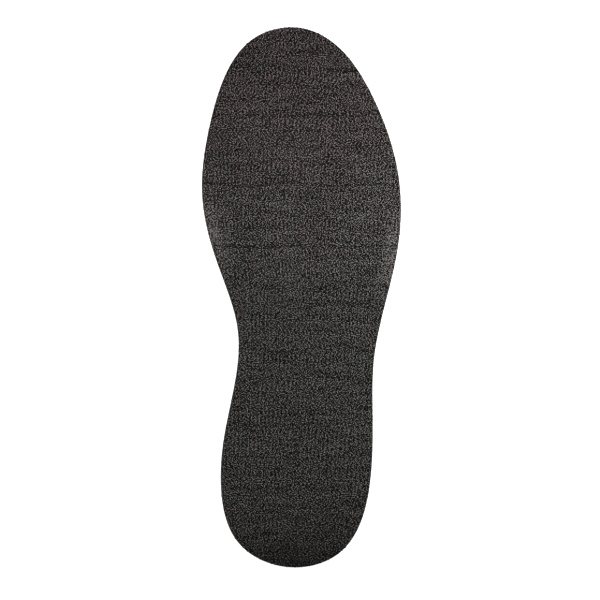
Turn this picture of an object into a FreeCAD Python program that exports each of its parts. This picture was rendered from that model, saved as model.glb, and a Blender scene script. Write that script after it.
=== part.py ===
"""Cushioned insole for a right shoe: a flat laminate, die-cut through all its layers at once.

Millimetres. +Z is up through the thickness, +Y runs to the toes, and +X runs to the outer
(lateral) side of the foot. The origin is the centre of the outline's box, on the underside.
"""
import FreeCAD, Part
import os

# ---- driving dimensions -------------------------------------------------------------------
LENGTH = 280.0          # heel back to toe tip
BALL_WIDTH = 103.2      # widest part, across the ball of the foot

# the laminate from the shoe up to the foot: node name and thickness
LAYERS = (
    ("grip_backing", 0.6),
    ("backing_bond", 0.1),
    ("cushion_foam", 3.0),
    ("cover_bond", 0.1),
    ("top_cover", 1.2),
)
COVER_EDGE_RADIUS = 0.7  # the die rolls the cover's rim over

# the flex line under the joints of the toes, as shares of LENGTH from the heel back
FLEX_INNER = 0.73       # at the inner side of the ball
FLEX_OUTER = 0.63       # at the outer side of the ball
FLEX_GAP = 0.2          # clear width between the two bodies

# The outline runs from the toe tip down the inner side, round the heel and up the outer side.
# Each station is a share of BALL_WIDTH from the middle, and of LENGTH from the middle.
OUTLINE = (
    ("toe tip", -0.068, 0.500),
    ("inner toe corner", -0.245, 0.4785),
    ("big toe", -0.460, 0.3215),
    ("inner ball", -0.497, 0.1785),
    ("arch front", -0.4235, 0.0645),
    ("arch waist", -0.319, -0.0645),
    ("inner heel front", -0.3885, -0.257),
    ("inner heel", -0.406, -0.3355),
    ("inner heel corner", -0.319, -0.4535),
    ("heel back", -0.030, -0.500),
    ("outer heel corner", 0.196, -0.4715),
    ("outer heel", 0.349, -0.3285),
    ("outer heel front", 0.3575, -0.2105),
    ("outer waist", 0.3645, -0.1145),
    ("outer midfoot", 0.480, 0.082),
    ("outer ball", 0.494, 0.207),
    ("little toe", 0.364, 0.368),
    ("outer toe corner", 0.161, 0.4715),
)


def outline_face(height):
    """The insole's outline as a flat face at this height."""
    points = [
        FreeCAD.Vector(across * BALL_WIDTH, along * LENGTH, height)
        for name, across, along in OUTLINE
    ]
    curve = Part.BSplineCurve()
    curve.interpolate(Points=points, PeriodicFlag=True)
    return Part.Face(Part.Wire(curve.toShape()))


def layer_solid(bottom, thickness):
    """One whole layer of the laminate."""
    return outline_face(bottom).extrude(FreeCAD.Vector(0, 0, thickness))


def roll_rim(cover, top):
    """Round the cover's upper rim."""
    rim = [edge for edge in cover.Edges if edge.BoundBox.ZMin > top - 0.01]
    return cover.makeFillet(COVER_EDGE_RADIUS, rim)


def flex_gap_solid():
    """The thin upright wall along the flex line that parts forefoot from rearfoot."""
    inner = FreeCAD.Vector(-BALL_WIDTH / 2, (FLEX_INNER - 0.5) * LENGTH, 0)
    outer = FreeCAD.Vector(BALL_WIDTH / 2, (FLEX_OUTER - 0.5) * LENGTH, 0)
    along = (outer - inner).normalize()
    across = FreeCAD.Vector(-along.y, along.x, 0)
    start = inner - along * BALL_WIDTH - across * (FLEX_GAP / 2)
    corners = [
        start,
        start + along * (3 * BALL_WIDTH),
        start + along * (3 * BALL_WIDTH) + across * FLEX_GAP,
        start + across * FLEX_GAP,
    ]
    wall = Part.Face(Part.makePolygon(corners + [start]))
    wall.translate(FreeCAD.Vector(0, 0, -1))
    return wall.extrude(FreeCAD.Vector(0, 0, sum(t for name, t in LAYERS) + 2))


def build():
    """Every node, as a dictionary of name to solid."""
    nodes = {}
    gap = flex_gap_solid()
    bottom = 0.0
    for name, thickness in LAYERS:
        layer = layer_solid(bottom, thickness)
        bottom += thickness
        if name == "top_cover":
            layer = roll_rim(layer, bottom)
        rear, front = sorted(layer.cut(gap).Solids, key=lambda solid: solid.CenterOfMass.y)
        nodes[name + "_rearfoot"] = rear
        nodes[name + "_forefoot"] = front
    return nodes


os.makedirs("parts", exist_ok=True)
for node, solid in build().items():
    solid.exportStep(os.path.join("parts", node + ".step"))
    box = solid.BoundBox
    print(node, "volume", round(solid.Volume), "valid", solid.isValid(),
          "z", round(box.ZMin, 3), round(box.ZMax, 3))
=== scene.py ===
"""Looks of the cushioned insole: every layer of the laminate, the studio and the camera.

Lengths in this script are in millimetres until a mesh is made, and metres after that.
Every layer is one continuous sheet across the flex line at the ball of the foot.
"""
import math

import bpy
import numpy as np
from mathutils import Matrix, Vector
from mathutils.geometry import delaunay_2d_cdt
from mathutils.kdtree import KDTree


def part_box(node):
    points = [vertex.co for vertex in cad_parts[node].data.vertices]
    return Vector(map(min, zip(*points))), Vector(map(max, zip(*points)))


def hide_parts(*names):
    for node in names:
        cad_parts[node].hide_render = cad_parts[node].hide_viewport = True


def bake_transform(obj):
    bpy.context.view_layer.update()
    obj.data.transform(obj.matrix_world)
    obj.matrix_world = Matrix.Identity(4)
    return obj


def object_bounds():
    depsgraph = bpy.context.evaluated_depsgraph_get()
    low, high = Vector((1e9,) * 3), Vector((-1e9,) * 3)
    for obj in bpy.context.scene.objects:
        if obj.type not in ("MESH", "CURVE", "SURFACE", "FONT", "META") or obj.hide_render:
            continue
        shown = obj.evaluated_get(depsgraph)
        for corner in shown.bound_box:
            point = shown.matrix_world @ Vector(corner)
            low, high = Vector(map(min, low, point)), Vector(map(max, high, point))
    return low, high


MM = 0.001
SEED = 20

# ---- outline ------------------------------------------------------------------------------------
OUTLINE_STEP = 0.5          # between neighbouring points round the rim
OUTLINE_HARMONICS = 40      # of the smooth closed curve through the CAD outline
OUTLINE_FINER = 4           # points of that curve for each point kept
SAME_HEIGHT = 0.01          # points this close in height lie on one face
INSOLE_LENGTH = 280.0

# ---- lie of the relaxed laminate ----------------------------------------------------------------
BALL_CURL = 0.8             # the rim stands up this far beside the ball
TOE_CURL = 0.5              # and this far at the toe
BALL_Y, BALL_SPREAD = 42.0, 34.0
TOE_START_Y = 85.0

# ---- looped knit --------------------------------------------------------------------------------
WALE = 1.0                  # loop spacing across the insole
COURSE = 0.92               # loop spacing along it
LOOP_LENGTH = 1.25
LOOP_WIDTH = 0.46
LOOP_HEIGHT = 0.6
# each loop's own length, width and height, as shares of these three
LENGTH_RANGE, WIDTH_RANGE, HEIGHT_RANGE = (0.7, 1.25), (0.8, 1.2), (0.45, 1.0)
LOOP_REACH = 1.3            # width searched for a loop's cells, as a share of LOOP_LENGTH
TONE_SHAPE = (2.2, 2.6)     # of the beta distribution of the loops' tones
SCATTER_ACROSS, SCATTER_ALONG = 0.16, 0.2   # standard deviation of a loop's place
LEAN_SCATTER = 0.75         # standard deviation of a loop's direction, in radians
LOWER_WALE = 0.18           # every other wale is lower by this share
LOOP_ARCH = 0.18            # each loop's middle line curves to the side by this much
PILE_CELL = 0.16            # cell of the height field that the loops are laid in
PILE_EDGE = 3.0             # the height field reaches this far past the outline
RIB_PITCH = 2.0             # two loops make a rib
RIB_GAP_SHARE = 0.3         # height of the pile between the ribs, as a share of the full height
STITCH_ROW = 0.6            # each row of stitches lies at its own place along the rib pitch
BAND_PITCH = 8.0            # faint bands across, a few courses each
FURROWS = (                 # courses that lie lower: place along the insole, depth
    (26.5, 1.0), (58.5, 0.55), (94.5, 0.5), (117.0, 0.45), (-28.5, 0.45), (-60.5, 0.45),
)
FURROW_WIDTH = 0.42
FURROW_LOSS = 0.7           # share of the pile's height that the deepest furrow takes away
MEAN_PILE_SHARE = 0.4       # the CAD face lies at this share of the loops' height
GRAIN_SCALE, GRAIN_WEIGHT = 1.8, 2.2        # melange grain: features per mm, share of lightness
TUFT_SCALE = 2.3            # single yarn ends per mm
ROW_STRETCH = (0.05, 0.42, 1.0)             # rows across: features per mm along X and Y
NAP_SCALE, HUE_SCALE = 0.035, 0.11          # wide soft patches of lightness and of hue, per mm
MIDDLE_LIGHTNESS = 0.515    # where an even patch falls on the shade ramp
COVER_GRID = 0.52           # vertex spacing of the cover's face
COVER_GRID_GAP, COVER_JITTER = 0.4, 0.2     # room at the rim and scatter, as shares of that spacing
COVER_RIM_RADIUS = 0.7
COVER_RIM_TURNS = (90, 62, 36, 12)          # degrees, where points lie round the rolled rim
COVER_WALL_STEP = 0.25      # height of the lowest row of faces of the cover's edge

# painted highlight: the fibre tips are drawn lit along both margins behind the ball
HIGHLIGHT_LATERAL_Y, HIGHLIGHT_MEDIAL_Y = 22.0, 36.0
HIGHLIGHT_INSET, HIGHLIGHT_WIDTH, HIGHLIGHT_LENGTH = 3.0, 3.5, 15.0

# ---- foam, webs and backing ---------------------------------------------------------------------
FOAM_BULGE = 0.16           # the foam's cut edge stands out past the cover by this much
FOAM_EDGE_ROWS = 12         # rows of faces up the foam's edge
FOAM_PIT = 0.22             # depth of the deepest open cell in the edge
WEB_INSET = 0.12
PLAIN_GRID = 3.0            # vertex spacing of the faces that are never seen
BACKING_GRID = 1.5
BACKING_INSET, BACKING_MIDDLE_INSET = 0.1, 0.02
WEAVE_PITCH = 0.8
DOT_PITCH, DOT_RADIUS, DOT_HEIGHT = 4.0, 0.85, 0.22
DOT_MARGIN = 2.0
DOT_ROOT = 0.02             # each dot starts this far inside the cloth
DOT_SIDES = 12
DOT_RINGS = ((1.0, 0.0), (0.97, 0.45), (0.72, 0.85), (0.35, 1.0))   # shares of radius and height

# ---- materials ----------------------------------------------------------------------------------
FOAM_CELLS, FOAM_GRAIN = 2.4, 1.1           # features per mm, as are the next two lines
WEB_STRANDS = 0.8
CLOTH_GRAIN, DOT_GRAIN = 1.5, 2.0
BUMP_DEPTH, CLOTH_BUMP_DEPTH = 0.0003, 0.0002       # in metres, for a change of 1 in the height

# ---- studio, in metres --------------------------------------------------------------------------
ROOM_RADIUS, ROOM_HEIGHT = 3.9, 1.2
ROOM_SIDES = 64
FLOOR_MARGIN, WALL_FOOT = 0.1, -0.01        # so that no gap shows where floor and wall meet
FLOOR_GLOW, WALL_GLOW = 0.9, 1.0
SKY_STRENGTH = 0.3
LAMPS = (                   # name, place, width, watts
    ("key", (0.16, 0.055, 0.16), 0.06, 0.56),
    ("fill", (-0.20, 0.07, 0.22), 0.10, 0.34),
)
LAMP_TARGET = (0.0, 0.04, 0.0)              # in the ball of the foot

# ---- camera -------------------------------------------------------------------------------------
LENS, SENSOR = 85.0, 36.0
PICTURE_SIDE = 310.54       # side of the square that the picture shows at the insole's face
PICTURE_X, PICTURE_Y = -0.78, -1.29


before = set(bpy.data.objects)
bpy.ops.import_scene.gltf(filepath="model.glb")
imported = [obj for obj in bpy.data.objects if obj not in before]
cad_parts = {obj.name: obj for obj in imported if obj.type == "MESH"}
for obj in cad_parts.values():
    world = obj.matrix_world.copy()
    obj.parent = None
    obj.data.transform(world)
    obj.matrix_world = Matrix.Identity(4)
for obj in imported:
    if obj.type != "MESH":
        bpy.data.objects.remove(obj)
cad_low, cad_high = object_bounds()
rng = np.random.default_rng(SEED)


# =================================================================================================
# Outline
# =================================================================================================

def cad_outline():
    """Corners of the foam's lower face, in order round the insole."""
    found = []
    for node in ("cushion_foam_rearfoot", "cushion_foam_forefoot"):
        points = np.array([v.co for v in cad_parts[node].data.vertices]) / MM
        lowest = points[:, 2].min()
        found.append(points[np.abs(points[:, 2] - lowest) < SAME_HEIGHT, :2])
    points = np.vstack(found)
    return points[np.argsort(np.arctan2(points[:, 1], points[:, 0]))]


def evenly_spaced(loop, count):
    """count points at equal steps along a closed loop."""
    closed = np.vstack([loop, loop[:1]])
    run = np.r_[0, np.cumsum(np.linalg.norm(np.diff(closed, axis=0), axis=1))]
    at = np.linspace(0, run[-1], count, endpoint=False)
    return np.c_[np.interp(at, run, closed[:, 0]), np.interp(at, run, closed[:, 1])]


def smooth_loop(loop, count):
    """A smooth closed curve through the loop, as count points, with its outward normals."""
    loop = evenly_spaced(loop, OUTLINE_FINER * count)
    wave = np.fft.fft(loop[:, 0] + 1j * loop[:, 1])
    order = np.abs(np.fft.fftfreq(len(wave), 1 / len(wave)))
    wave[order > OUTLINE_HARMONICS] = 0
    curve = np.fft.ifft(wave)[::OUTLINE_FINER]
    points = np.c_[curve.real, curve.imag]
    tangent = np.roll(points, -1, axis=0) - np.roll(points, 1, axis=0)
    tangent /= np.linalg.norm(tangent, axis=1)[:, None]
    return points, np.c_[tangent[:, 1], -tangent[:, 0]]


corners = cad_outline()
perimeter = np.linalg.norm(np.roll(corners, -1, axis=0) - corners, axis=1).sum()
RIM_COUNT = int(perimeter / OUTLINE_STEP)
rim, rim_out = smooth_loop(corners, RIM_COUNT)

rim_tree = KDTree(RIM_COUNT)
for index, (x, y) in enumerate(rim):
    rim_tree.insert((x, y, 0), index)
rim_tree.balance()


def inset_of(points):
    """How far each point lies inside the outline; negative outside."""
    nearest = [rim_tree.find((x, y, 0))[1] for x, y in points]
    away = points - rim[nearest]
    return -(away * rim_out[nearest]).sum(axis=1)


def grid_inside(spacing, inset, jitter=0.0):
    """Staggered grid points at least inset from the outline."""
    low, high = rim.min(axis=0), rim.max(axis=0)
    rows = np.arange(low[1], high[1], spacing)
    columns = np.arange(low[0], high[0], spacing)
    x, y = np.meshgrid(columns, rows)
    x[1::2] += spacing / 2
    points = np.c_[x.ravel(), y.ravel()]
    points += rng.uniform(-jitter, jitter, points.shape) * spacing
    return points[inset_of(points) > inset]


def lift(points):
    """How far the relaxed laminate stands off the floor at each point."""
    across = np.abs(points[:, 0]) / cad_high.x * MM
    ball = np.exp(-((points[:, 1] - BALL_Y) / BALL_SPREAD) ** 2)
    toe = np.clip((points[:, 1] - TOE_START_Y) / (cad_high.y / MM - TOE_START_Y), 0, 1)
    return BALL_CURL * across ** 3 * ball + TOE_CURL * toe ** 2


# =================================================================================================
# Knit height field
# =================================================================================================

class Pile:
    """Yarn loops laid over each other: their height and which loop is on top."""

    def __init__(self):
        self.low = rim.min(axis=0) - PILE_EDGE
        size = rim.max(axis=0) + PILE_EDGE - self.low
        self.shape = tuple(np.ceil(size[::-1] / PILE_CELL).astype(int) + 1)
        self.height = np.zeros(self.shape)
        self.tone = np.full(self.shape, 0.5)
        self.lay_loops(size)

    def lay_loops(self, size):
        """Lay every loop: first their heights, then the tone of whichever is on top."""
        columns = np.arange(0, size[0], WALE)
        rows = np.arange(0, size[1], COURSE)
        x, y = (a.ravel() for a in np.meshgrid(columns, rows))
        count = len(x)
        alternate = np.round(x / WALE) % 2
        x = x + rng.normal(0, SCATTER_ACROSS, count)
        y = y + rng.normal(0, SCATTER_ALONG, count)
        lean = rng.normal(0, LEAN_SCATTER, count) + math.pi / 2
        long = LOOP_LENGTH * rng.uniform(*LENGTH_RANGE, count) / 2
        wide = LOOP_WIDTH * rng.uniform(*WIDTH_RANGE, count) / 2
        crest = LOOP_HEIGHT * rng.uniform(*HEIGHT_RANGE, count) * (1 - LOWER_WALE * alternate)
        tone = rng.beta(*TONE_SHAPE, count)
        reach = int(math.ceil(LOOP_LENGTH * LOOP_REACH / 2 / PILE_CELL))
        column, row = (x / PILE_CELL).astype(int), (y / PILE_CELL).astype(int)
        for pass_over in ("height", "tone"):
            for down in range(-reach, reach + 1):
                for right in range(-reach, reach + 1):
                    c, r = column + right, row + down
                    ok = (c >= 0) & (c < self.shape[1]) & (r >= 0) & (r < self.shape[0])
                    dx, dy = c * PILE_CELL - x, r * PILE_CELL - y
                    along = dx * np.cos(lean) + dy * np.sin(lean)
                    across = -dx * np.sin(lean) + dy * np.cos(lean)
                    across = across - LOOP_ARCH * (along / long) ** 2
                    round_top = 1 - (along / long) ** 2 - (across / wide) ** 2
                    ok &= round_top > 0
                    value = crest * np.sqrt(np.clip(round_top, 0, 1))
                    if pass_over == "height":
                        np.maximum.at(self.height, (r[ok], c[ok]), value[ok])
                    else:
                        top = ok.copy()
                        top[ok] = value[ok] >= self.height[r[ok], c[ok]] - 1e-9
                        self.tone[r[top], c[top]] = tone[top]

    def sample(self, field, points):
        """The field at each point."""
        at = (points - self.low) / PILE_CELL
        c = np.clip(at[:, 0].round().astype(int), 0, self.shape[1] - 1)
        r = np.clip(at[:, 1].round().astype(int), 0, self.shape[0] - 1)
        return field[r, c]


pile = Pile()


def furrow_at(points):
    """How deep each point lies in a lowered course, from 0 to 1."""
    x, y = points[:, 0], points[:, 1]
    depth = np.zeros(len(points))
    for place, strength in FURROWS:
        # its place sets the phases, so that no two courses waver or thin out alike
        waver = 0.35 * np.sin(x / 7.0 + place) + 0.2 * np.sin(x / 2.3 + 2 * place)
        broken = 0.7 + 0.3 * np.sin(x / 11.0 + 3 * place)
        valley = np.exp(-((y - place - waver) / FURROW_WIDTH) ** 2)
        depth = np.maximum(depth, strength * broken * valley)
    return depth


def drift_at(points):
    """How far the ribs wander to the side at each point, in mm."""
    x, y = points[:, 0], points[:, 1]
    wide = 1.1 * np.sin(y / 25.0 + 0.04 * x) + 0.8 * np.sin(x / 13.0 + 1.3) * np.sin(y / 15.0 + 0.7)
    fine = 0.3 * np.sin(y / 6.5 + x / 9.0)
    return wide + fine


def rib_at(points):
    """1 on the crest of a rib and 0 in the gap beside it."""
    turn = 2 * math.pi * (points[:, 0] + drift_at(points)) / RIB_PITCH
    return 0.5 + 0.5 * np.sin(turn)


def painted_highlight_at(points):
    """How strong the painted highlight is along the two margins behind the ball, from 0 to 1."""
    inset = inset_of(points)
    margin = np.exp(-((inset - HIGHLIGHT_INSET) / HIGHLIGHT_WIDTH) ** 2)
    lateral = np.where(points[:, 0] > 0, 1.0, 0.0)
    centre = lateral * HIGHLIGHT_LATERAL_Y + (1 - lateral) * HIGHLIGHT_MEDIAL_Y
    return margin * np.exp(-((points[:, 1] - centre) / HIGHLIGHT_LENGTH) ** 2)


# =================================================================================================
# Meshes
# =================================================================================================

def flat_patch(edge, inside):
    """Triangles that fill a closed edge and use the points inside it."""
    points = np.vstack([edge, inside])
    count = len(edge)
    loop = [(i, (i + 1) % count) for i in range(count)]
    made = delaunay_2d_cdt([Vector(p) for p in points], loop, [], 1, 1e-6)
    if len(made[0]) != len(points):
        raise ValueError("the triangulation moved or merged points")
    return made[2]


def layer_shape(profile, top_inside, bottom_inside):
    """A closed plate: profile lists (inset, height) from the upper rim down to the lower.

    Returns the points, the faces, and the number of each ring's first point."""
    rings = [rim - rim_out * inset for inset, height in profile]
    heights = [height for inset, height in profile]
    count = len(rim)
    top = np.c_[top_inside, np.full(len(top_inside), heights[0])]
    bottom = np.c_[bottom_inside, np.full(len(bottom_inside), heights[-1])]
    parts = [np.c_[ring, np.full(count, height)] for ring, height in zip(rings, heights)]
    parts.insert(1, top)
    parts.append(bottom)
    starts = [0] + [count + len(top) + i * count for i in range(len(rings) - 1)]
    faces = [tuple(f) for f in flat_patch(rings[0], top_inside)]
    for upper, lower in zip(starts, starts[1:]):
        for i in range(count):
            j = (i + 1) % count
            faces.append((upper + i, lower + i, lower + j, upper + j))
    last = starts[-1]
    faces += [tuple(last + i for i in reversed(f)) for f in flat_patch(rings[-1], bottom_inside)]
    return np.vstack(parts), faces, starts


def make_object(name, points, faces, material, attributes=None, pattern=None):
    """A mesh object from millimetre points; pattern is where its textures lie, if not at rest."""
    mesh = bpy.data.meshes.new(name)
    mesh.from_pydata((points * MM).tolist(), [], faces)
    mesh.polygons.foreach_set("use_smooth", [True] * len(mesh.polygons))
    rest = mesh.attributes.new("rest_mm", "FLOAT_VECTOR", "POINT")
    place = points if pattern is None else pattern
    rest.data.foreach_set("vector", place.astype(np.float32).ravel())
    for key, values in (attributes or {}).items():
        stored = mesh.attributes.new(key, "FLOAT", "POINT")
        stored.data.foreach_set("value", np.asarray(values, np.float32))
    mesh.materials.append(material)
    made = bpy.data.objects.new(name, mesh)
    bpy.context.scene.collection.objects.link(made)
    return made


def bend_at_ball(piece):
    """The piece's transform is baked into its mesh; the layer is one sheet across the flex line."""
    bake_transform(piece)


def stand_for(piece, layer):
    """The piece replaces both solids of a layer, which are hidden, and its transform is baked into
    its mesh.
    """
    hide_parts(layer + "_rearfoot", layer + "_forefoot")
    bend_at_ball(piece)


def heights_of(layer):
    """Lower and upper height of a layer in the frame."""
    low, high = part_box(layer + "_rearfoot")
    return low.z / MM, high.z / MM


# =================================================================================================
# Materials
# =================================================================================================

def add_node(tree, kind, **settings):
    """A shader node; settings that name an input fill or link it, others are properties."""
    made = tree.nodes.new(kind)
    inputs = {k: v for k, v in settings.items() if k.startswith("in_")}
    for key, value in settings.items():
        if key not in inputs:
            setattr(made, key, value)
    for key, value in inputs.items():
        label = key[3:].replace("_", " ")
        socket = made.inputs[int(label) if label.isdigit() else label]
        if isinstance(value, bpy.types.NodeSocket):
            tree.links.new(value, socket)
        else:
            socket.default_value = value
    return made


def new_material(name):
    """An empty node material and its Principled shader."""
    material = bpy.data.materials.new(name)
    material.use_nodes = True
    tree = material.node_tree
    tree.nodes.clear()
    output = tree.nodes.new("ShaderNodeOutputMaterial")
    shader = tree.nodes.new("ShaderNodeBsdfPrincipled")
    tree.links.new(shader.outputs["BSDF"], output.inputs["Surface"])
    return material, tree, shader


def ramp(tree, factor, stops):
    """A colour ramp through (position, colour) stops."""
    made = tree.nodes.new("ShaderNodeValToRGB")
    elements = made.color_ramp.elements
    while len(elements) > 1:
        elements.remove(elements[-1])
    elements[0].position, elements[0].color = stops[0][0], (*stops[0][1], 1)
    for position, colour in stops[1:]:
        elements.new(position).color = (*colour, 1)
    tree.links.new(factor, made.inputs["Fac"])
    return made.outputs["Color"]


def maths(tree, operation, a, b):
    """The result of a Math node."""
    return add_node(tree, "ShaderNodeMath", operation=operation, in_0=a, in_1=b).outputs[0]


def flat_noise(tree, place, scale, detail=0.0):
    """Noise that varies along the face only, at scale features per millimetre."""
    return add_node(tree, "ShaderNodeTexNoise", noise_dimensions="2D", in_Vector=place,
                    in_Scale=scale, in_Detail=detail).outputs["Fac"]


def mesh_value(tree, name, output="Fac"):
    """A value or vector that the mesh stores under this name."""
    return add_node(tree, "ShaderNodeAttribute", attribute_name=name).outputs[output]


def periodic(tree, place, pitch):
    """A sine along a length in millimetres."""
    return maths(tree, "SINE", maths(tree, "MULTIPLY", place, 2 * math.pi / pitch), 0)


def knit_material():
    """Charcoal looped knit: grey melange yarn, near black between the loops partly through painted
    shade, in upright ribs.
    """
    material, tree, shader = new_material("cover_knit")
    rest = mesh_value(tree, "rest_mm", "Vector")
    depth = mesh_value(tree, "depth")
    tone = mesh_value(tree, "tone")
    furrow = mesh_value(tree, "furrow")
    painted_highlight = mesh_value(tree, "painted_highlight")
    drift = mesh_value(tree, "drift")
    split = add_node(tree, "ShaderNodeSeparateXYZ", in_0=rest)
    across = maths(tree, "ADD", split.outputs["X"], drift)
    along = maths(tree, "ADD", split.outputs["Y"], drift)
    ribs = periodic(tree, across, RIB_PITCH)
    course = maths(tree, "FLOOR", maths(tree, "DIVIDE", split.outputs["Y"], STITCH_ROW), 0)
    slip = add_node(tree, "ShaderNodeTexWhiteNoise", noise_dimensions="1D",
                    in_W=course).outputs["Value"]
    slipped = maths(tree, "ADD", across, maths(tree, "MULTIPLY", slip, RIB_PITCH))
    stitches = periodic(tree, slipped, RIB_PITCH)
    bands = periodic(tree, along, BAND_PITCH)
    stretched = add_node(tree, "ShaderNodeVectorMath", operation="MULTIPLY", in_0=rest,
                         in_1=ROW_STRETCH)
    rows = flat_noise(tree, stretched.outputs[0], 1.0, 1.0)
    nap = flat_noise(tree, rest, NAP_SCALE, 2.0)
    tufts = add_node(tree, "ShaderNodeTexVoronoi", voronoi_dimensions="2D", in_Vector=rest,
                     in_Scale=TUFT_SCALE, in_Randomness=0.85)
    heather = add_node(tree, "ShaderNodeSeparateColor", in_Color=tufts.outputs["Color"]).outputs[0]
    grain = flat_noise(tree, rest, GRAIN_SCALE)
    # painted highlight: fibre tips drawn lighter along the margins behind the ball
    lit_tips = maths(tree, "MULTIPLY", painted_highlight, maths(tree, "POWER", heather, 3))
    lightness_terms = (     # what makes a place lighter, its weight and its own middle value
        (lit_tips, 0.9, 0),
        (rows, 0.25, 0.5),
        (heather, 0.27, 0.5),
        (tufts.outputs["Distance"], -0.26, 0.38),
        (ribs, 0.05, 0),
        (stitches, 0.125, 0),
        (bands, 0.02, 0),
        # painted shade: darker where the pile lies low between the loops
        (depth, 0.08, 0.4),
        (tone, 0.05, 0.45),
        (nap, 0.11, 0.5),
        # painted shade: the lowered courses are drawn darker
        (furrow, -0.36, 0),
    )
    value = maths(tree, "MULTIPLY", maths(tree, "SUBTRACT", grain, 0.5), GRAIN_WEIGHT)
    for part, weight, centre in lightness_terms:
        centred = maths(tree, "SUBTRACT", part, centre)
        value = maths(tree, "ADD", value, maths(tree, "MULTIPLY", centred, weight))
    value = maths(tree, "ADD", value, MIDDLE_LIGHTNESS)
    shade = ramp(tree, value, (
        (0.0, (0.0002, 0.0002, 0.0002)),
        (0.35, (0.0014, 0.0013, 0.0013)),
        (0.5, (0.0082, 0.0078, 0.0077)),
        (0.65, (0.0305, 0.0291, 0.0285)),
        (0.8, (0.0815, 0.0777, 0.0761)),
        (1.0, (0.238, 0.227, 0.222)),
    ))
    # painted light and shade along the insole, from 0 at the heel to 1 at the toe: brightest at the
    # ball, dimmer at the waist, much darker over the heel's end, and warmer towards the toe
    share = maths(tree, "ADD", maths(tree, "DIVIDE", split.outputs["Y"], INSOLE_LENGTH), 0.5)
    painted_light_tint = ramp(tree, share, (
        (0.0, (0.295, 0.284, 0.278)),
        (0.045, (0.552, 0.543, 0.522)),
        (0.12, (0.780, 0.782, 0.738)),
        (0.4, (0.712, 0.716, 0.697)),
        (0.47, (0.658, 0.660, 0.648)),
        (0.6, (0.815, 0.780, 0.770)),
        (0.85, (0.795, 0.720, 0.715)),
        (1.0, (0.730, 0.655, 0.650)),
    ))
    hue = ramp(tree, flat_noise(tree, rest, HUE_SCALE, 1.0), (
        (0.35, (1.02, 0.988, 0.99)),
        (0.65, (0.975, 1.012, 0.99)),
    ))
    with_painted_light = add_node(tree, "ShaderNodeVectorMath", operation="MULTIPLY", in_0=shade, in_1=painted_light_tint)
    colour = add_node(tree, "ShaderNodeVectorMath", operation="MULTIPLY", in_0=with_painted_light.outputs[0],
                      in_1=hue)
    tree.links.new(colour.outputs[0], shader.inputs["Base Color"])
    bump = add_node(tree, "ShaderNodeBump", in_Height=value, in_Strength=0.8,
                    in_Distance=BUMP_DEPTH)
    tree.links.new(bump.outputs["Normal"], shader.inputs["Normal"])
    shader.inputs["Roughness"].default_value = 0.95
    shader.inputs["Specular IOR Level"].default_value = 0.1
    return material


def foam_material():
    """Dark grey open-cell latex foam."""
    material, tree, shader = new_material("latex_foam")
    rest = mesh_value(tree, "rest_mm", "Vector")
    cells = add_node(tree, "ShaderNodeTexVoronoi", in_Vector=rest,
                     in_Scale=FOAM_CELLS).outputs["Distance"]
    grain = add_node(tree, "ShaderNodeTexNoise", in_Vector=rest, in_Scale=FOAM_GRAIN,
                     in_Detail=4.0).outputs["Fac"]
    value = maths(tree, "ADD", maths(tree, "MULTIPLY", cells, 0.7),
                  maths(tree, "MULTIPLY", grain, 0.5))
    colour = ramp(tree, value, (
        (0.25, (0.004, 0.004, 0.0045)),
        (0.60, (0.020, 0.020, 0.021)),
        (0.95, (0.044, 0.044, 0.045)),
    ))
    tree.links.new(colour, shader.inputs["Base Color"])
    bump = add_node(tree, "ShaderNodeBump", in_Height=value, in_Strength=0.9,
                    in_Distance=BUMP_DEPTH)
    tree.links.new(bump.outputs["Normal"], shader.inputs["Normal"])
    shader.inputs["Roughness"].default_value = 0.85
    shader.inputs["Specular IOR Level"].default_value = 0.3
    return material


def web_material():
    """Milky hot-melt web, lighter along its strands."""
    material, tree, shader = new_material("bond_web")
    rest = mesh_value(tree, "rest_mm", "Vector")
    strands = add_node(tree, "ShaderNodeTexVoronoi", feature="DISTANCE_TO_EDGE", in_Vector=rest,
                       in_Scale=WEB_STRANDS).outputs["Distance"]
    colour = ramp(tree, strands, (
        (0.0, (0.20, 0.20, 0.19)),
        (0.25, (0.07, 0.07, 0.068)),
    ))
    tree.links.new(colour, shader.inputs["Base Color"])
    shader.inputs["Roughness"].default_value = 0.55
    return material


def backing_material():
    """Black plain-woven backing cloth."""
    material, tree, shader = new_material("backing_cloth")
    rest = mesh_value(tree, "rest_mm", "Vector")
    split = add_node(tree, "ShaderNodeSeparateXYZ", in_0=rest)
    warp = periodic(tree, split.outputs["X"], WEAVE_PITCH)
    weft = periodic(tree, split.outputs["Y"], WEAVE_PITCH)
    weave = maths(tree, "MULTIPLY", warp, weft)
    noise = add_node(tree, "ShaderNodeTexNoise", in_Vector=rest, in_Scale=CLOTH_GRAIN,
                     in_Detail=3.0).outputs["Fac"]
    value = maths(tree, "ADD", maths(tree, "MULTIPLY", weave, 0.25), noise)
    colour = ramp(tree, value, (
        (0.25, (0.008, 0.008, 0.009)),
        (0.75, (0.040, 0.039, 0.040)),
    ))
    tree.links.new(colour, shader.inputs["Base Color"])
    bump = add_node(tree, "ShaderNodeBump", in_Height=value, in_Strength=0.8,
                    in_Distance=CLOTH_BUMP_DEPTH)
    tree.links.new(bump.outputs["Normal"], shader.inputs["Normal"])
    shader.inputs["Roughness"].default_value = 0.9
    shader.inputs["Specular IOR Level"].default_value = 0.2
    return material


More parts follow.
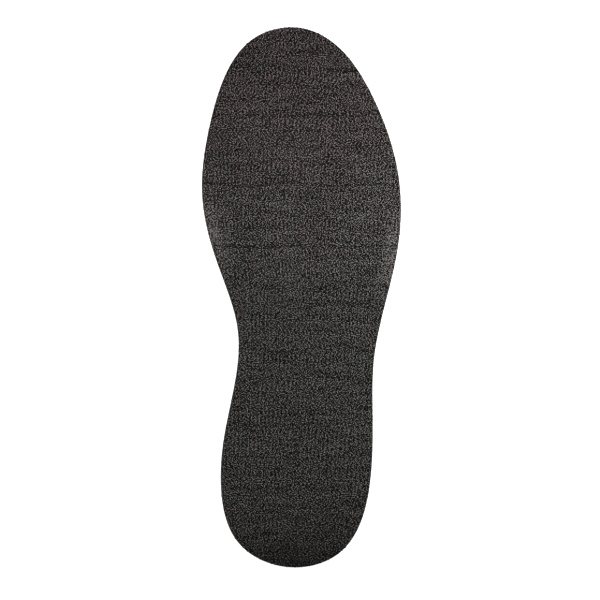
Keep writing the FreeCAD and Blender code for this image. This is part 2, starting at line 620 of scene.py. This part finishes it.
def dot_material():
    """Soft rubber grip dots."""
    material, tree, shader = new_material("grip_dots")
    rest = mesh_value(tree, "rest_mm", "Vector")
    noise = add_node(tree, "ShaderNodeTexNoise", in_Vector=rest, in_Scale=DOT_GRAIN,
                     in_Detail=2.0).outputs["Fac"]
    colour = ramp(tree, noise, (
        (0.3, (0.012, 0.012, 0.013)),
        (0.7, (0.022, 0.022, 0.023)),
    ))
    tree.links.new(colour, shader.inputs["Base Color"])
    shader.inputs["Roughness"].default_value = 0.45
    return material


# =================================================================================================
# Pieces
# =================================================================================================

def top_cover():
    """The looped knit cover, with its rim rolled over by the die."""
    bottom, top = heights_of("top_cover")
    radius = COVER_RIM_RADIUS
    turns = [math.radians(a) for a in COVER_RIM_TURNS]
    profile = [(radius * (1 - math.cos(a)), top - radius * (1 - math.sin(a))) for a in turns]
    profile += [(0.0, bottom + COVER_WALL_STEP), (0.0, bottom)]
    tilt = turns + [0.0, 0.0]
    inside = grid_inside(COVER_GRID, radius + COVER_GRID * COVER_GRID_GAP, jitter=COVER_JITTER)
    points, faces, starts = layer_shape(profile, inside, grid_inside(PLAIN_GRID, PLAIN_GRID / 2))
    count = len(rim)
    out = np.zeros_like(points)
    out[:, 2] = 1
    knit = points.copy()        # where each point lies in the knit before it is rolled over the rim
    knit[:, 2] = 0
    for start, angle, (inset, height) in zip(starts, tilt, profile):
        ring = slice(start, start + count)
        rolled = radius * (math.pi / 2 - angle) + max(0.0, top - radius - height)
        knit[ring, :2] = rim + rim_out * (rolled - radius)
        out[ring, :2] = rim_out * math.cos(angle)
        out[ring, 2] = math.sin(angle)
    height = pile.sample(pile.height, knit[:, :2])
    tone = pile.sample(pile.tone, knit[:, :2])
    bottom_start = starts[-1]
    height[bottom_start:] = 0
    furrow = furrow_at(knit)
    height *= (1 - FURROW_LOSS * furrow) * (RIB_GAP_SHARE + (1 - RIB_GAP_SHARE) * rib_at(knit))
    mean = LOOP_HEIGHT * MEAN_PILE_SHARE
    above_base = np.arange(len(points)) < bottom_start
    points = points + out * (height - mean)[:, None] * above_base[:, None]
    points[:, 2] += lift(points[:, :2])
    # depth runs from 0 between the loops to 1 on their crests; the knit's colour takes painted
    # shade from it
    depth = np.clip(height / LOOP_HEIGHT, 0, 1)
    piece = make_object("top_cover", points, faces, knit_material(),
                        {"depth": depth, "tone": tone, "furrow": furrow,
                         "painted_highlight": painted_highlight_at(knit[:, :2]), "drift": drift_at(knit)}, knit)
    stand_for(piece, "top_cover")


def bond_web(layer):
    """A hot-melt web between two layers."""
    bottom, top = heights_of(layer)
    inside = grid_inside(PLAIN_GRID, PLAIN_GRID / 2)
    points, faces, _ = layer_shape([(WEB_INSET, top), (WEB_INSET, bottom)], inside, inside)
    points[:, 2] += lift(points[:, :2])
    piece = make_object(layer, points, faces, WEB)
    stand_for(piece, layer)


def cushion_foam():
    """The foam, with its cut edge standing out a little and pitted by open cells."""
    bottom, top = heights_of("cushion_foam")
    steps = np.linspace(0, 1, FOAM_EDGE_ROWS + 1)
    profile = [(-FOAM_BULGE * math.sin(math.pi * s), top + (bottom - top) * s) for s in steps]
    inside = grid_inside(PLAIN_GRID, PLAIN_GRID / 2)
    points, faces, starts = layer_shape(profile, inside, inside)
    count = len(rim)
    pits = rng.uniform(0, 1, (FOAM_EDGE_ROWS - 1, count)) ** 2 * FOAM_PIT
    for start, pit in zip(starts[1:-1], pits):
        points[start:start + count, :2] -= rim_out * pit[:, None]
    points[:, 2] += lift(points[:, :2])
    piece = make_object("cushion_foam", points, faces, foam_material())
    stand_for(piece, "cushion_foam")


def dot_shape():
    """One grip dot, hanging from height 0: its points and faces."""
    points, faces = [], []
    for radius, drop in DOT_RINGS:
        wide = radius * DOT_RADIUS
        for i in range(DOT_SIDES):
            turn = 2 * math.pi * i / DOT_SIDES
            points.append((wide * math.cos(turn), wide * math.sin(turn), -drop * DOT_HEIGHT))
    for ring in range(len(DOT_RINGS) - 1):
        for i in range(DOT_SIDES):
            j = (i + 1) % DOT_SIDES
            a, b = ring * DOT_SIDES, (ring + 1) * DOT_SIDES
            faces.append((a + i, b + i, b + j, a + j))
    faces.append(tuple(range(DOT_SIDES)))
    last = (len(DOT_RINGS) - 1) * DOT_SIDES
    faces.append(tuple(last + i for i in reversed(range(DOT_SIDES))))
    return np.array(points), faces


def grip_backing():
    """The woven backing, with rows of grip dots that touch the floor."""
    bottom, top = heights_of("grip_backing")
    face = bottom + DOT_HEIGHT
    middle = (top + face) / 2
    profile = [(BACKING_INSET, top), (BACKING_MIDDLE_INSET, middle), (BACKING_INSET, face)]
    inside = grid_inside(PLAIN_GRID, PLAIN_GRID / 2)
    under = grid_inside(BACKING_GRID, BACKING_GRID / 2)
    points, faces, _ = layer_shape(profile, inside, under)
    cloth_faces = len(faces)
    dot_points, dot_faces = dot_shape()
    all_points = [points]
    count = len(points)
    for x, y in grid_inside(DOT_PITCH, DOT_MARGIN):
        all_points.append(dot_points + (x, y, face + DOT_ROOT))
        faces += [tuple(count + i for i in f) for f in dot_faces]
        count += len(dot_points)
    points = np.vstack(all_points)
    points[:, 2] += lift(points[:, :2])
    piece = make_object("grip_backing", points, faces, backing_material())
    piece.data.materials.append(dot_material())
    index = np.zeros(len(faces), np.int32)
    index[cloth_faces:] = 1
    piece.data.polygons.foreach_set("material_index", index)
    stand_for(piece, "grip_backing")


x, y = rim[:, 0], rim[:, 1]
WEB = web_material()

top_cover()
bond_web("cover_bond")
cushion_foam()
bond_web("backing_bond")
grip_backing()


# =================================================================================================
# Studio
# =================================================================================================

def white_stage(name, points, faces, glow):
    """A matt white surface of the studio that also glows, so no shadow shows on it."""
    mesh = bpy.data.meshes.new(name)
    mesh.from_pydata(points, [], faces)
    material, tree, shader = new_material(name)
    shader.inputs["Base Color"].default_value = (0.8, 0.8, 0.8, 1)
    shader.inputs["Roughness"].default_value = 0.9
    shader.inputs["Specular IOR Level"].default_value = 0.0
    shader.inputs["Emission Color"].default_value = (1, 1, 1, 1)
    shader.inputs["Emission Strength"].default_value = glow
    mesh.materials.append(material)
    made = bpy.data.objects.new(name, mesh)
    bpy.context.scene.collection.objects.link(made)


def white_room():
    """A light table with a round white wall far behind it."""
    half = ROOM_RADIUS + FLOOR_MARGIN
    white_stage("floor", [(-half, -half, 0), (half, -half, 0), (half, half, 0), (-half, half, 0)],
                [(0, 1, 2, 3)], FLOOR_GLOW)
    sides = ROOM_SIDES
    turns = [2 * math.pi * i / sides for i in range(sides)]
    ring = [(ROOM_RADIUS * math.cos(turn), ROOM_RADIUS * math.sin(turn)) for turn in turns]
    wall = [(x, y, z) for z in (WALL_FOOT, ROOM_HEIGHT) for x, y in ring]
    faces = [((i + 1) % sides, i, sides + i, sides + (i + 1) % sides) for i in range(sides)]
    white_stage("wall", wall, faces, WALL_GLOW)


def area_light(name, place, width, watts):
    """A round lamp that lights the ball of the foot and that the camera does not see."""
    data = bpy.data.lights.new(name, "AREA")
    data.shape = "DISK"
    data.size = width
    data.energy = watts
    made = bpy.data.objects.new(name, data)
    made.location = place
    ahead = Vector(LAMP_TARGET) - Vector(place)
    made.rotation_euler = ahead.to_track_quat("-Z", "Y").to_euler()
    made.visible_camera = False
    bpy.context.scene.collection.objects.link(made)


def studio():
    """Two small lamps close to the ball of the foot, so the light falls off towards the heel."""
    white_room()
    for lamp in LAMPS:
        area_light(*lamp)
    world = bpy.data.worlds.new("studio")
    world.use_nodes = True
    background = world.node_tree.nodes["Background"]
    background.inputs["Color"].default_value = (1, 1, 1, 1)
    background.inputs["Strength"].default_value = SKY_STRENGTH
    bpy.context.scene.world = world
    bpy.context.scene.view_settings.view_transform = "Standard"


def camera():
    """Straight above, as the object is seen in a product picture."""
    data = bpy.data.cameras.new("camera")
    data.lens, data.sensor_width = LENS, SENSOR
    made = bpy.data.objects.new("camera", data)
    distance = PICTURE_SIDE * MM * LENS / SENSOR
    made.location = (PICTURE_X * MM, PICTURE_Y * MM, cad_high.z + distance)
    bpy.context.scene.collection.objects.link(made)
    bpy.context.scene.camera = made


studio()
camera()
